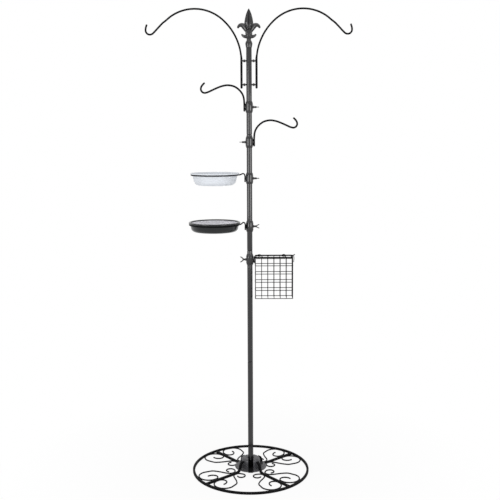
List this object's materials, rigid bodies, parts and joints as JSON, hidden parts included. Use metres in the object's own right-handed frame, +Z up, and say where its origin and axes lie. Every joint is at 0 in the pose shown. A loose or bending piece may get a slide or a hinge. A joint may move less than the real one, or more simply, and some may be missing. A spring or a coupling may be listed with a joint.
{
  "type": "hanging plant stand",
  "caption": "Free-standing garden pole on a scrollwork base, with arched hanging arms and hooks, and a water dish, seed tray and wire cage on sliding clamps.",
  "frame": {"origin": "on the floor at the middle of the round base, on the pole's axis", "axes": "+Z up along the pole, +X to the right along the two big arms, -Y towards the viewer"},
  "size_m": [0.6992, 0.42, 1.6261],
  "materials": {
    "black_coat": "satin black powder coat",
    "pole_coat": "glossy charcoal coat",
    "hammered": "hammered dark grey coat",
    "black_plastic": "moulded black plastic, slight sheen",
    "pan_plastic": "glossy black plastic",
    "zinc": "blackened zinc-plated steel",
    "clear_plastic": "clear, very pale blue plastic",
    "mesh_steel": "bright woven wire"
  },
  "bodies": {
    "stand": {"base_ring": "black_coat", "spoke_back_right": "black_coat", "spoke_back_left": "black_coat", "spoke_front_left": "black_coat", "spoke_front_right": "black_coat", "scroll_back_right_a": "black_coat", "scroll_back_right_b": "black_coat", "scroll_back_left_a": "black_coat", "scroll_back_left_b": "black_coat", "scroll_front_left_a": "black_coat", "scroll_front_left_b": "black_coat", "scroll_front_right_a": "black_coat", "scroll_front_right_b": "black_coat", "hub_flange": "hammered", "hub_drum": "hammered", "pole_socket": "black_coat", "pole_lower": "pole_coat", "pole_middle": "pole_coat", "pole_upper": "pole_coat", "pole_top": "pole_coat", "finial": "pole_coat", "arm_left": "black_coat", "arm_right": "black_coat", "cross_bolt_lower": "zinc", "cross_bolt_upper": "zinc", "arm_nut_lower_left": "zinc", "arm_nut_lower_right": "zinc", "arm_nut_upper_left": "zinc", "arm_nut_upper_right": "zinc"},
    "high_hook_slider": {"high_hook_bush": "black_plastic"},
    "high_hook_swivel": {"high_hook_collar": "pole_coat", "high_hook_rod": "black_coat"},
    "high_hook_wing": {"high_hook_screw": "zinc"},
    "low_hook_slider": {"low_hook_bush": "black_plastic"},
    "low_hook_swivel": {"low_hook_collar": "pole_coat", "low_hook_rod": "black_coat"},
    "low_hook_wing": {"low_hook_screw": "zinc"},
    "dish_slider": {"dish_bush": "black_plastic"},
    "dish_swivel": {"dish_collar": "pole_coat", "dish_ring": "black_coat"},
    "dish_wing": {"dish_screw": "zinc"},
    "dish": {"water_dish": "clear_plastic"},
    "tray_slider": {"tray_bush": "black_plastic"},
    "tray_swivel": {"tray_collar": "pole_coat", "tray_ring": "black_coat"},
    "tray_wing": {"tray_screw": "zinc"},
    "tray": {"tray_pan": "pan_plastic", "tray_mesh": "mesh_steel"},
    "cage_slider": {"cage_bush": "black_plastic"},
    "cage_swivel": {"cage_collar": "pole_coat", "cage_holder": "black_coat", "cage_basket": "black_coat"},
    "cage_wing": {"cage_screw": "zinc"},
    "lid": {"cage_lid": "black_coat"}
  },
  "joints": [
    {"name": "high_hook_height", "type": "slide", "parent": "stand", "child": "high_hook_slider", "axis": [0, 0, 1], "range_m": [-0.035, 0.002]},
    {"name": "high_hook_turn", "type": "hinge", "parent": "high_hook_slider", "child": "high_hook_swivel", "pos_m": [0, 0, 1.298], "axis": [0, 0, 1], "continuous": true},
    {"name": "high_hook_screw_turn", "type": "hinge", "parent": "high_hook_swivel", "child": "high_hook_wing", "pos_m": [0.02, 0, 1.298], "axis": [1, 0, 0], "continuous": true},
    {"name": "low_hook_height", "type": "slide", "parent": "stand", "child": "low_hook_slider", "axis": [0, 0, 1], "range_m": [-0.06, 0.035]},
    {"name": "low_hook_turn", "type": "hinge", "parent": "low_hook_slider", "child": "low_hook_swivel", "pos_m": [0, 0, 1.18], "axis": [0, 0, 1], "continuous": true},
    {"name": "low_hook_screw_turn", "type": "hinge", "parent": "low_hook_swivel", "child": "low_hook_wing", "pos_m": [-0.02, 0, 1.18], "axis": [-1, 0, 0], "continuous": true},
    {"name": "dish_height", "type": "slide", "parent": "stand", "child": "dish_slider", "axis": [0, 0, 1], "range_m": [-0.06, 0.06]},
    {"name": "dish_turn", "type": "hinge", "parent": "dish_slider", "child": "dish_swivel", "pos_m": [0, 0, 1.056], "axis": [0, 0, 1], "continuous": true},
    {"name": "dish_screw_turn", "type": "hinge", "parent": "dish_swivel", "child": "dish_wing", "pos_m": [0.02, 0, 1.056], "axis": [1, 0, 0], "continuous": true},
    {"name": "dish_lift", "type": "slide", "parent": "dish_swivel", "child": "dish", "axis": [0, 0, 1], "range_m": [0, 0.06]},
    {"name": "tray_height", "type": "slide", "parent": "stand", "child": "tray_slider", "axis": [0, 0, 1], "range_m": [-0.05, 0.06]},
    {"name": "tray_turn", "type": "hinge", "parent": "tray_slider", "child": "tray_swivel", "pos_m": [0, 0, 0.8895], "axis": [0, 0, 1], "continuous": true},
    {"name": "tray_screw_turn", "type": "hinge", "parent": "tray_swivel", "child": "tray_wing", "pos_m": [0.02, 0, 0.8895], "axis": [1, 0, 0], "continuous": true},
    {"name": "tray_lift", "type": "slide", "parent": "tray_swivel", "child": "tray", "axis": [0, 0, 1], "range_m": [0, 0.06]},
    {"name": "cage_height", "type": "slide", "parent": "stand", "child": "cage_slider", "axis": [0, 0, 1], "range_m": [-0.5, 0.05]},
    {"name": "cage_turn", "type": "hinge", "parent": "cage_slider", "child": "cage_swivel", "pos_m": [0, 0, 0.773], "axis": [0, 0, 1], "continuous": true},
    {"name": "cage_screw_turn", "type": "hinge", "parent": "cage_swivel", "child": "cage_wing", "pos_m": [-0.02, 0, 0.773], "axis": [-1, 0, 0], "continuous": true},
    {"name": "lid_hinge", "type": "hinge", "parent": "cage_swivel", "child": "lid", "pos_m": [0.08425, 0.025, 0.783], "axis": [-1, 0, 0], "range_deg": [0, 105]}
  ]
}
